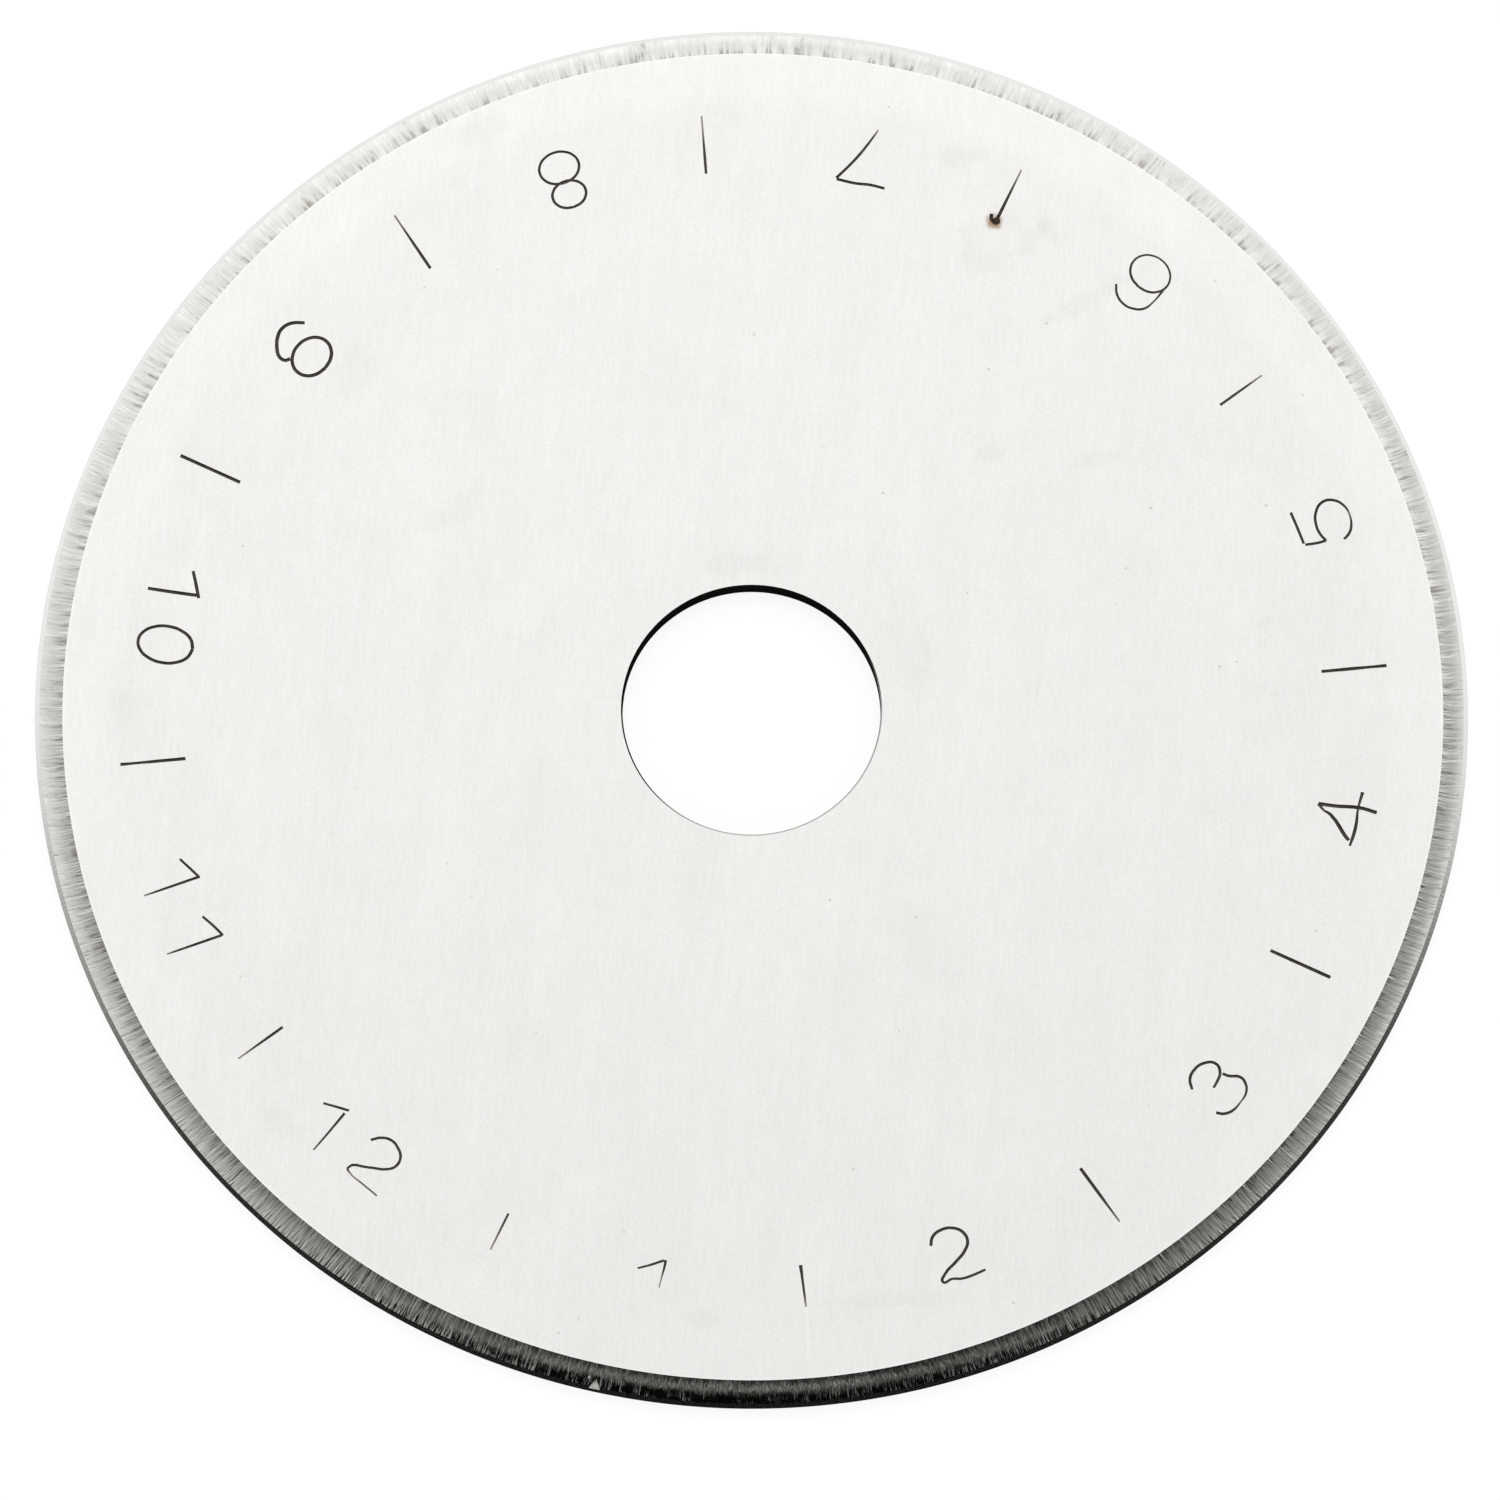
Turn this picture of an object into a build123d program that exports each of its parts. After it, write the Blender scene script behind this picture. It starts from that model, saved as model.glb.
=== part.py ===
"""Rotary cutter blade: a thin hardened steel disc with a plain bore and a ground cutting edge.

The disc lies flat. The origin is the centre of the bore on the lower face, and +Z runs along the
bore, out of the upper face. All lengths are in millimetres and all angles in degrees.
"""

import os
from math import radians, tan

from build123d import *

# Sizes of the blank
cutting_diameter = 45.0
bore_diameter = 8.1
thickness = 0.7

# The edge is ground from both faces: a wide bevel, left slightly hollow by the wheel, and then a
# narrow, steeper hone at its tip
bevel_width = 0.69
hollow_depth = 0.02
hone_width = 0.14
hone_angle = 30.0
crest_width = 0.03

# The burr is taken off both mouths of the bore
bore_chamfer = 0.05

# Radii and heights that follow from the sizes above, for the half below the middle plane
cutting_radius = cutting_diameter / 2
hone_radius = cutting_radius - hone_width
face_radius = hone_radius - bevel_width
bore_radius = bore_diameter / 2
half_thickness = thickness / 2
crest_height = half_thickness - crest_width / 2
hone_height = crest_height - hone_width * tan(radians(hone_angle))

# The blade is ground alike on both sides of its middle plane. In the section, radii run along X
# and heights along Y, so that plane is seen edge on.
middle_of_section = Plane.XZ.offset(-half_thickness)

with BuildPart() as blade:
    with BuildSketch(Plane.XZ):
        with BuildLine():
            # Down the wall of the bore, round its mouth and out along the lower face
            Polyline(
                (bore_radius, half_thickness),
                (bore_radius, bore_chamfer),
                (bore_radius + bore_chamfer, 0),
                (face_radius, 0),
            )
            # Up the hollow-ground bevel
            SagittaArc((face_radius, 0), (hone_radius, hone_height), hollow_depth)
            # Up the hone to the crest of the edge, and back along the middle plane
            Polyline(
                (hone_radius, hone_height),
                (cutting_radius, crest_height),
                (cutting_radius, half_thickness),
                (bore_radius, half_thickness),
            )
        make_face()
        mirror(about=middle_of_section)
    revolve(axis=Axis.Z)

blade.part.label = "blade"

os.makedirs("parts", exist_ok=True)
export_step(blade.part, "parts/blade.step")
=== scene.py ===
"""Dresses and lights the rotary cutter blade: a thin ground disc with a dial scribed on it by hand."""
import logging
from dataclasses import dataclass, replace
from enum import Enum
from math import cos, hypot, pi, radians, sin, sqrt, tan
from random import Random

import bpy
from mathutils import Matrix, Vector


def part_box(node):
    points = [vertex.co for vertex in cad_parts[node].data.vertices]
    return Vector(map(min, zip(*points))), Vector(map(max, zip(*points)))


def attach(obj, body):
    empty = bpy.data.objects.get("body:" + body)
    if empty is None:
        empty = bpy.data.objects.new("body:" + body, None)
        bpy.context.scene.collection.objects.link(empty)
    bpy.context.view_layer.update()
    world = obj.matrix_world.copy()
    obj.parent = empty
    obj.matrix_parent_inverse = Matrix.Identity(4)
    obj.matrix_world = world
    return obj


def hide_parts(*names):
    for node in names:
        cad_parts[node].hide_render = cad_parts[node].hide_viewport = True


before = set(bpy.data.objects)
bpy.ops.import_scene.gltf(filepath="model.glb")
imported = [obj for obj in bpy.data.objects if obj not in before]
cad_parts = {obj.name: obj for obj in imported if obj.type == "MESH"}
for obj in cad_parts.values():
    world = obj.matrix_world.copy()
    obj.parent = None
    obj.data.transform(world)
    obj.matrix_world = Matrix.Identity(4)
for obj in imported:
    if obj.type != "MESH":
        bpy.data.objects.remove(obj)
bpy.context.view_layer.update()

MM = 0.001

log = logging.getLogger("rotary_cutter_blade")


class Zone(Enum):
    """The differently finished zones of the blade, in the order of its material slots."""

    FACE = 0
    BEVEL = 1
    HONE = 2
    BORE = 3
    MARK = 4


@dataclass
class NodeBench:
    """A small bench for laying out one node tree.

    Attributes:
        tree: The node tree that is being laid out.
    """

    tree: bpy.types.NodeTree

    def add(self, kind: str, **settings: object) -> bpy.types.Node:
        """Add a node and set its own properties.

        Args:
            kind: Blender's name for the node's type.
            **settings: Properties of the node, by name.

        Returns:
            The new node.
        """
        node = self.tree.nodes.new(kind)
        for name, value in settings.items():
            setattr(node, name, value)
        return node

    def feed(self, socket: bpy.types.NodeSocket, value: object) -> None:
        """Give an input socket a link or a plain value.

        Args:
            socket: The input socket.
            value: Another node's output socket, a number or a tuple.
        """
        if isinstance(value, bpy.types.NodeSocket):
            self.tree.links.new(value, socket)
        else:
            socket.default_value = value

    def maths(self, operation: str, *values: object, clamp: bool = False) -> bpy.types.NodeSocket:
        """Work out a number.

        Args:
            operation: The operation of the Math node.
            *values: Its inputs, as sockets or numbers.
            clamp: Whether the result is kept between 0 and 1.

        Returns:
            The socket that gives the result.
        """
        node = self.add("ShaderNodeMath", operation=operation, use_clamp=clamp)
        for socket, value in zip(node.inputs, values):
            self.feed(socket, value)
        return node.outputs[0]

    def _vector_node(self, operation: str, values: tuple) -> bpy.types.Node:
        """Add a Vector Math node.

        Args:
            operation: Its operation.
            values: Its inputs, as sockets, tuples or numbers.

        Returns:
            The node.
        """
        node = self.add("ShaderNodeVectorMath", operation=operation)
        for socket, value in zip(node.inputs, values):
            self.feed(socket, value)
        return node

    def vector(self, operation: str, *values: object) -> bpy.types.NodeSocket:
        """Work out a vector.

        Args:
            operation: The operation of the Vector Math node.
            *values: Its inputs, as sockets or tuples.

        Returns:
            The socket that gives the result.
        """
        return self._vector_node(operation, values).outputs["Vector"]

    def measure(self, operation: str, *values: object) -> bpy.types.NodeSocket:
        """Work out a number from vectors.

        Args:
            operation: The operation of the Vector Math node, such as a length.
            *values: Its inputs, as sockets or tuples.

        Returns:
            The socket that gives the result.
        """
        return self._vector_node(operation, values).outputs["Value"]

    def span(self, value: object, low: object, high: object, start: float = 0.0, end: float = 1.0,
             curve: str = "SMOOTHSTEP") -> bpy.types.NodeSocket:
        """Carry a value from one range to another.

        Args:
            value: The value to carry over.
            low: Where the value gives start.
            high: Where the value gives end.
            start: The result at low.
            end: The result at high.
            curve: The interpolation of the Map Range node.

        Returns:
            The socket that gives the result.
        """
        node = self.add("ShaderNodeMapRange", interpolation_type=curve)
        names = ("Value", "From Min", "From Max", "To Min", "To Max")
        for name, number in zip(names, (value, low, high, start, end)):
            self.feed(node.inputs[name], number)
        return node.outputs["Result"]

    def blend(self, factor: object, first: object, second: object, mode: str = "MIX") -> bpy.types.NodeSocket:
        """Blend two colours.

        Args:
            factor: How much of the second colour is taken.
            first: The first colour.
            second: The second colour.
            mode: The blend type of the Mix node.

        Returns:
            The socket that gives the colour.
        """
        node = self.add("ShaderNodeMix", data_type="RGBA", blend_type=mode)
        self.feed(node.inputs["Factor"], factor)
        self.feed(node.inputs[6], first)
        self.feed(node.inputs[7], second)
        return node.outputs[2]

    def place(self, vector: object, location: tuple = (0.0, 0.0, 0.0), turn: float = 0.0,
              scale: tuple = (1.0, 1.0, 1.0), kind: str = "POINT") -> bpy.types.NodeSocket:
        """Move, turn and stretch the coordinates of a pattern.

        Args:
            vector: The coordinates to start from.
            location: The move.
            turn: The turn about Z, in degrees.
            scale: The stretch along each axis.
            kind: The vector type of the Mapping node.

        Returns:
            The socket that gives the new coordinates.
        """
        node = self.add("ShaderNodeMapping", vector_type=kind)
        self.feed(node.inputs["Vector"], vector)
        node.inputs["Location"].default_value = location
        node.inputs["Rotation"].default_value = (0.0, 0.0, radians(turn))
        node.inputs["Scale"].default_value = scale
        return node.outputs[0]

    def noise(self, vector: object, scale: float, detail: float = 2.0,
              roughness: float = 0.5) -> bpy.types.NodeSocket:
        """Add a noise pattern.

        Args:
            vector: The coordinates that it reads.
            scale: Its scale.
            detail: Its octaves.
            roughness: How strong the finer octaves are.

        Returns:
            The socket that gives the noise, evened out to about -1 to 1.
        """
        node = self.add("ShaderNodeTexNoise")
        self.feed(node.inputs["Vector"], vector)
        node.inputs["Scale"].default_value = scale
        node.inputs["Detail"].default_value = detail
        node.inputs["Roughness"].default_value = roughness
        return self.span(node.outputs["Fac"], 0.25, 0.75, -1.0, 1.0, "LINEAR")

    def flat(self, where: object) -> bpy.types.NodeSocket:
        """Return where a place lies in plan, without its height."""
        return self.vector("MULTIPLY", where, (1.0, 1.0, 0.0))

    def radius(self, where: object) -> bpy.types.NodeSocket:
        """Return how far a place lies from the axis of the bore."""
        return self.measure("LENGTH", self.flat(where))

    def parts(self, vector: object) -> tuple:
        """Take a vector apart.

        Args:
            vector: The vector.

        Returns:
            The sockets that give its parts along X, Y and Z.
        """
        node = self.add("ShaderNodeSeparateXYZ")
        self.feed(node.inputs[0], vector)
        return tuple(node.outputs)

    def effect(self, group: bpy.types.ShaderNodeTree, **values: object) -> bpy.types.NodeSocket:
        """Place a shared effect.

        Args:
            group: The effect's node group.
            **values: What goes into its inputs, by name.

        Returns:
            The socket of its only output.
        """
        node = self.add("ShaderNodeGroup", node_tree=group)
        for name, value in values.items():
            self.feed(node.inputs[name], value)
        return node.outputs[0]


class Effects:
    """The shader node groups that several finishes share, each built once."""

    _built: dict = {}

    @classmethod
    def _open(cls, name: str, numbers: tuple, result: str) -> tuple:
        """Open a new group that reads a Vector and some numbers.

        Args:
            name: The group's name.
            numbers: The names of its number inputs.
            result: The name of its output.

        Returns:
            Its bench, the sockets that it is given, by name, and the socket that its result goes to.
        """
        tree = bpy.data.node_groups.new(name, "ShaderNodeTree")
        tree.interface.new_socket("Vector", in_out="INPUT", socket_type="NodeSocketVector")
        for number in numbers:
            tree.interface.new_socket(number, in_out="INPUT", socket_type="NodeSocketFloat")
        tree.interface.new_socket(result, in_out="OUTPUT", socket_type="NodeSocketFloat")
        bench = NodeBench(tree)
        entry = bench.add("NodeGroupInput")
        leave = bench.add("NodeGroupOutput")
        cls._built[name] = tree
        return bench, entry.outputs, leave.inputs[result]

    @classmethod
    def grinding(cls) -> bpy.types.ShaderNodeTree:
        """Build the straight lines that a surface grinder leaves, along Y.

        Returns:
            The group, which gives Lines from -1 to 1. Across and Along are lines to the metre.
        """
        if "grinding_lines" not in cls._built:
            bench, given, result = cls._open("grinding_lines", ("Across", "Along"), "Lines")
            stretch = bench.add("ShaderNodeCombineXYZ")
            for socket, name in zip(stretch.inputs, ("Across", "Along", "Along")):
                bench.feed(socket, given[name])
            scaled = bench.vector("MULTIPLY", given["Vector"], stretch.outputs[0])
            bench.feed(result, bench.noise(scaled, 1.0, detail=3.0, roughness=0.6))
        return cls._built["grinding_lines"]

    @classmethod
    def wheel(cls) -> bpy.types.ShaderNodeTree:
        """Build the slanting streaks that a grinding wheel leaves across the edge, all the way round.

        Returns:
            The group, which gives Streaks from -1 to 1. Slant is in radians of turn for each metre of
            radius, Across is the number of streaks to a radian and Along is streaks to the metre of radius.
        """
        if "wheel_streaks" not in cls._built:
            bench, given, result = cls._open("wheel_streaks", ("Slant", "Across", "Along"), "Streaks")
            flat = bench.flat(given["Vector"])
            reach = bench.measure("LENGTH", flat)
            turned = bench.add("ShaderNodeVectorRotate", rotation_type="Z_AXIS")
            bench.feed(turned.inputs["Vector"], bench.vector("NORMALIZE", flat))
            bench.feed(turned.inputs["Angle"], bench.maths("MULTIPLY", reach, given["Slant"]))
            wrapped = bench.vector("MULTIPLY", turned.outputs["Vector"], given["Across"])
            lift = bench.add("ShaderNodeCombineXYZ")
            bench.feed(lift.inputs["Z"], bench.maths("MULTIPLY", reach, given["Along"]))
            spot = bench.vector("ADD", wrapped, lift.outputs[0])
            bench.feed(result, bench.noise(spot, 1.0, detail=3.0, roughness=0.55))
        return cls._built["wheel_streaks"]

    @classmethod
    def patch(cls) -> bpy.types.ShaderNodeTree:
        """Build a ragged patch, such as a finger mark or a rust stain, of radius 1 about the origin.

        Returns:
            The group, which gives Mask from 0 to 1. Wander frays the patch's rim.
        """
        if "ragged_patch" not in cls._built:
            bench, given, result = cls._open("ragged_patch", ("Wander",), "Mask")
            reach = bench.measure("LENGTH", given["Vector"])
            bench.feed(result, bench.span(bench.maths("ADD", reach, given["Wander"]), 1.1, 0.3))
        return cls._built["ragged_patch"]

    @classmethod
    def specks(cls) -> bpy.types.ShaderNodeTree:
        """Build fine scattered specks.

        Returns:
            The group, which gives Mask from 0 to 1. Spread is specks to the metre, and Size is a share of
            their spacing.
        """
        if "fine_specks" not in cls._built:
            bench, given, result = cls._open("fine_specks", ("Spread", "Size"), "Mask")
            cells = bench.add("ShaderNodeTexVoronoi")
            bench.feed(cells.inputs["Vector"], given["Vector"])
            bench.feed(cells.inputs["Scale"], given["Spread"])
            bench.feed(result, bench.span(cells.outputs["Distance"], given["Size"], 0.0))
        return cls._built["fine_specks"]


@dataclass(frozen=True)
class Steel:
    """What the steel finishes share.

    Attributes:
        tone: The bare steel's colour.
        roughness: Its mean roughness.
    """

    tone: tuple = (0.90, 0.893, 0.871, 1.0)
    roughness: float = 0.30

    def start(self, name: str) -> tuple:
        """Start a new metal material.

        Args:
            name: The material's name.

        Returns:
            The material, its bench, its Principled BSDF and its Object coordinates.
        """
        material = bpy.data.materials.new(name)
        material.use_nodes = True
        material.node_tree.nodes.clear()
        bench = NodeBench(material.node_tree)
        surface = bench.add("ShaderNodeOutputMaterial")
        shader = bench.add("ShaderNodeBsdfPrincipled")
        bench.feed(surface.inputs["Surface"], shader.outputs["BSDF"])
        shader.inputs["Metallic"].default_value = 1.0
        shader.inputs["Base Color"].default_value = self.tone
        shader.inputs["Roughness"].default_value = self.roughness
        where = bench.add("ShaderNodeTexCoord").outputs["Object"]
        return material, bench, shader, where

    @staticmethod
    def relief(bench: NodeBench, shader: bpy.types.Node, height: bpy.types.NodeSocket, depth: float) -> None:
        """Give the surface a fine relief.

        Args:
            bench: The material's bench.
            shader: Its Principled BSDF.
            height: The height, from -1 to 1.
            depth: What a height of 1 stands for, in metres.
        """
        bump = bench.add("ShaderNodeBump")
        bump.inputs["Distance"].default_value = depth
        bench.feed(bump.inputs["Height"], height)
        bench.feed(shader.inputs["Normal"], bump.outputs["Normal"])


@dataclass(frozen=True)
class Smudge:
    """A dull patch of handling dirt or thin rust on the upper face.

    Attributes:
        place: Its middle, in millimetres.
        size: Half its length and half its width, in millimetres.
        turn: The turn of its length from X, in degrees.
        dulling: How much it darkens the steel.
        rust: How much of that is brown.
        hollow: Whether only its rim is left.
    """

    place: tuple
    size: tuple
    turn: float = 0.0
    dulling: float = 0.03
    rust: float = 0.0
    hollow: bool = False


@dataclass(frozen=True)
class GrindPass:
    """One pass of the surface grinder over the faces.

    Attributes:
        lean: How far its lines lean from Y, in degrees.
        width: The width of a line.
        length: The length of a line.
        contrast: How far the lines change the steel's shade.
    """

    lean: float
    width: float
    length: float
    contrast: float


@dataclass(frozen=True)
class GroundFace(Steel):
    """The flat faces: surface-ground, with fine lines nearly along Y.

    Attributes:
        face_radius: The radius of the arris where the bevel starts.
        runout: How far the arris runs out along X.
        upper_height: The height of the upper face, the only one with the smudges.
        passes: The grinding, with the main lines first.
        grain_size: The size of the grain.
        grain_contrast: How far the grain changes the shade.
        cloud_size: The size of the cloudy patches.
        cloud_contrast: How far they change the shade.
        groove: The depth of the main lines.
        unevenness: How far the roughness differs along them.
        ring: The radii between which the painted highlight on the ring at the rim sets in.
        ring_highlight: How much lighter that painted highlight makes the ring.
        ring_slope: How much more that painted highlight is on the far side, to the metre along Y.
        arris: How far inside the arris its painted highlight starts, and where it is full.
        arris_highlight: How much lighter that painted highlight makes it there.
        fray_size: The size of the ragged bits of a smudge's rim.
        fray: How far the rim is frayed, as a share of the smudge.
        skin: How far from the upper face a smudge reaches.
        core: How many times smaller than the smudge the clean middle of a hollow one is.
        rust_share: How far rust takes the place of grey dirt.
        grime: The colour of the dirt.
        brown: The colour of the rust.
        dust: The colour of the dust.
        dust_spacing: The distance between its specks.
        dust_size: The radius of a speck, as a share of that distance.
        dust_cover: How much of the steel a speck hides.
        smudges: The dirt that handling left on the upper face.
    """

    face_radius: float = 21.67 * MM
    runout: float = 0.04 * MM
    upper_height: float = 0.7 * MM
    passes: tuple = (
        GrindPass(7.0, 0.13 * MM, 2.2 * MM, 0.048),
        GrindPass(2.0, 0.10 * MM, 0.8 * MM, 0.026),
        GrindPass(7.0, 0.8 * MM, 14.0 * MM, 0.014),
    )
    grain_size: float = 0.09 * MM
    grain_contrast: float = 0.030
    cloud_size: float = 2.4 * MM
    cloud_contrast: float = 0.018
    groove: float = 0.0001 * MM
    unevenness: float = 0.04
    ring: tuple = (19.6 * MM, 20.6 * MM)
    ring_highlight: float = 0.022
    ring_slope: float = 0.8
    arris: tuple = (0.09 * MM, 0.02 * MM)
    arris_highlight: float = 0.05
    fray_size: float = 0.9 * MM
    fray: float = 0.45
    skin: float = 0.3 * MM
    core: float = 1.5
    rust_share: float = 0.6
    grime: tuple = (0.10, 0.10, 0.095, 1.0)
    brown: tuple = (0.36, 0.19, 0.07, 1.0)
    dust: tuple = (0.12, 0.11, 0.10, 1.0)
    dust_spacing: float = 1.5 * MM
    dust_size: float = 0.045
    dust_cover: float = 0.45
    smudges: tuple = (
        Smudge((7.68, 16.09), (0.31, 0.28), 0.0, 0.80, 1.0),
        Smudge((7.90, 15.42), (1.55, 1.15), 20.0, 0.060, 0.35, True),
        Smudge((9.40, 15.85), (0.70, 0.35), -50.0, 0.050, 0.2),
        Smudge((6.62, 18.25), (1.10, 0.45), 10.0, 0.050, 0.1),
        Smudge((10.6, 13.5), (2.20, 0.40), 28.0, 0.045, 0.1),
        Smudge((7.60, 8.40), (0.55, 0.35), 10.0, 0.040, 0.3),
        Smudge((10.9, 8.25), (1.30, 0.40), 15.0, 0.040, 0.2),
        Smudge((-8.60, 19.1), (1.40, 0.60), 15.0, 0.040, 0.1),
        Smudge((-19.8, 0.30), (0.80, 0.80), 30.0, 0.035),
        Smudge((-20.9, 2.80), (0.35, 1.20), -10.0, 0.030),
        Smudge((-12.6, 11.2), (1.60, 0.80), 40.0, 0.026),
        Smudge((-9.20, 6.60), (1.50, 0.55), 30.0, 0.026, 0.2),
        Smudge((-17.9, 8.45), (0.60, 0.40), 0.0, 0.030, 0.8),
        Smudge((-0.40, 4.75), (1.90, 0.50), 0.0, 0.045),
        Smudge((5.00, 2.10), (0.80, 2.30), 12.0, 0.030),
        Smudge((5.20, -7.4), (0.90, 2.40), 25.0, 0.022),
        Smudge((16.15, 2.90), (0.40, 0.30), 0.0, 0.040),
        Smudge((-1.60, -19.7), (0.90, 0.35), -5.0, 0.035, 1.0),
        Smudge((4.60, -19.1), (3.20, 0.35), 2.0, 0.030, 0.5),
        Smudge((-14.9, -13.2), (1.30, 0.50), -40.0, 0.030, 0.4),
    )

    def _ground(self, bench: NodeBench, where: bpy.types.NodeSocket) -> tuple:
        """Lay the grinding lines, with grain and clouds under them.

        Args:
            bench: The material's bench.
            where: Its Object coordinates.

        Returns:
            The main lines, from -1 to 1, and the shade of everything about 1.
        """
        grain = bench.noise(where, 1 / self.grain_size, detail=1.0)
        clouds = bench.noise(where, 1 / self.cloud_size, detail=4.0, roughness=0.6)
        shade = bench.maths("MULTIPLY_ADD", grain, self.grain_contrast, 1.0)
        shade = bench.maths("MULTIPLY_ADD", clouds, self.cloud_contrast, shade)
        runs = []
        for run in self.passes:
            lines = bench.effect(
                Effects.grinding(), Vector=bench.place(where, turn=run.lean), Across=1 / run.width,
                Along=1 / run.length)
            shade = bench.maths("MULTIPLY_ADD", lines, run.contrast, shade)
            runs.append(lines)
        return runs[0], shade

    def _paint_rim_highlights(self, bench: NodeBench, where: bpy.types.NodeSocket, shade: object) -> bpy.types.NodeSocket:
        """Paint highlights on the ring at the rim, more on its far side, and on the arris.

        Args:
            bench: The material's bench.
            where: Its Object coordinates.
            shade: The shade of the ground steel.

        Returns:
            The shade with both painted highlights.
        """
        reach = bench.radius(bench.place(where, (-self.runout, 0.0, 0.0)))
        # Painted highlight: the ring at the rim is lighter, and more so towards +Y.
        far_side = bench.measure("DOT_PRODUCT", where, (0.0, self.ring_slope, 0.0))
        lift = bench.maths("ADD", far_side, self.ring_highlight)
        shade = bench.maths("MULTIPLY_ADD", bench.span(reach, *self.ring), lift, shade)
        # Painted highlight: a lighter line just inside the arris.
        start, full = self.arris
        arris = bench.span(reach, self.face_radius - start, self.face_radius - full)
        return bench.maths("MULTIPLY_ADD", arris, self.arris_highlight, shade)

    def _handled(self, bench: NodeBench, where: bpy.types.NodeSocket, tone: object) -> bpy.types.NodeSocket:
        """Lay the smudges on the upper face.

        Args:
            bench: The material's bench.
            where: Its Object coordinates.
            tone: The clean steel's colour.

        Returns:
            The colour of the handled steel.
        """
        wander = bench.noise(where, 1 / self.fray_size, detail=3.0, roughness=0.6)
        wander = bench.maths("MULTIPLY", wander, self.fray)
        dulled: object = 0.0
        rusted: object = 0.0
        for smudge in self.smudges:
            x, y = smudge.place
            length, width = smudge.size
            spot = bench.place(
                where, (x * MM, y * MM, self.upper_height), smudge.turn,
                (length * MM, width * MM, self.skin), "TEXTURE")
            mask = bench.effect(Effects.patch(), Vector=spot, Wander=wander)
            if smudge.hollow:
                core = bench.vector("MULTIPLY", spot, (self.core, self.core, self.core))
                clean = bench.effect(Effects.patch(), Vector=core, Wander=wander)
                mask = bench.maths("SUBTRACT", mask, clean)
            grey = smudge.dulling * (1.0 - self.rust_share * smudge.rust)
            dulled = bench.maths("MULTIPLY_ADD", mask, grey, dulled)
            if smudge.rust:
                rusted = bench.maths("MULTIPLY_ADD", mask, smudge.dulling * smudge.rust, rusted)
        return bench.blend(rusted, bench.blend(dulled, tone, self.grime), self.brown)

    def material(self) -> bpy.types.Material:
        """Make the material of the faces.

        Returns:
            The material.
        """
        material, bench, shader, where = self.start("ground_face")
        lines, shade = self._ground(bench, where)
        shade = self._paint_rim_highlights(bench, where, shade)
        tone = self._handled(bench, where, bench.blend(1.0, self.tone, shade, "MULTIPLY"))
        specks = bench.effect(
            Effects.specks(), Vector=where, Spread=1 / self.dust_spacing, Size=self.dust_size)
        tone = bench.blend(bench.maths("MULTIPLY", specks, self.dust_cover), tone, self.dust)
        bench.feed(shader.inputs["Base Color"], tone)
        rough = bench.maths("MULTIPLY_ADD", lines, self.unevenness, self.roughness)
        bench.feed(shader.inputs["Roughness"], rough)
        self.relief(bench, shader, lines, self.groove)
        return material


@dataclass(frozen=True)
class WheelPass:
    """One pass of a wheel or a punch, which leaves streaks all the way round.

    Attributes:
        width: The width of a streak.
        length: The length of a streak.
        slant: How far the streaks turn from straight out, in degrees.
        height: Their height, as a share of the finish's own depth.
    """

    width: float
    length: float
    slant: float = 0.0
    height: float = 1.0

    def streaks(self, bench: NodeBench, where: object, radius: float) -> bpy.types.NodeSocket:
        """Lay the streaks.

        Args:
            bench: The material's bench.
            where: The coordinates that the streaks run round.
            radius: The radius that they lie at.

        Returns:
            The socket that gives them, from -1 to 1.
        """
        return bench.effect(
            Effects.wheel(), Vector=where, Slant=tan(radians(self.slant)) / radius,
            Across=radius / self.width, Along=1 / self.length)


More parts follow.
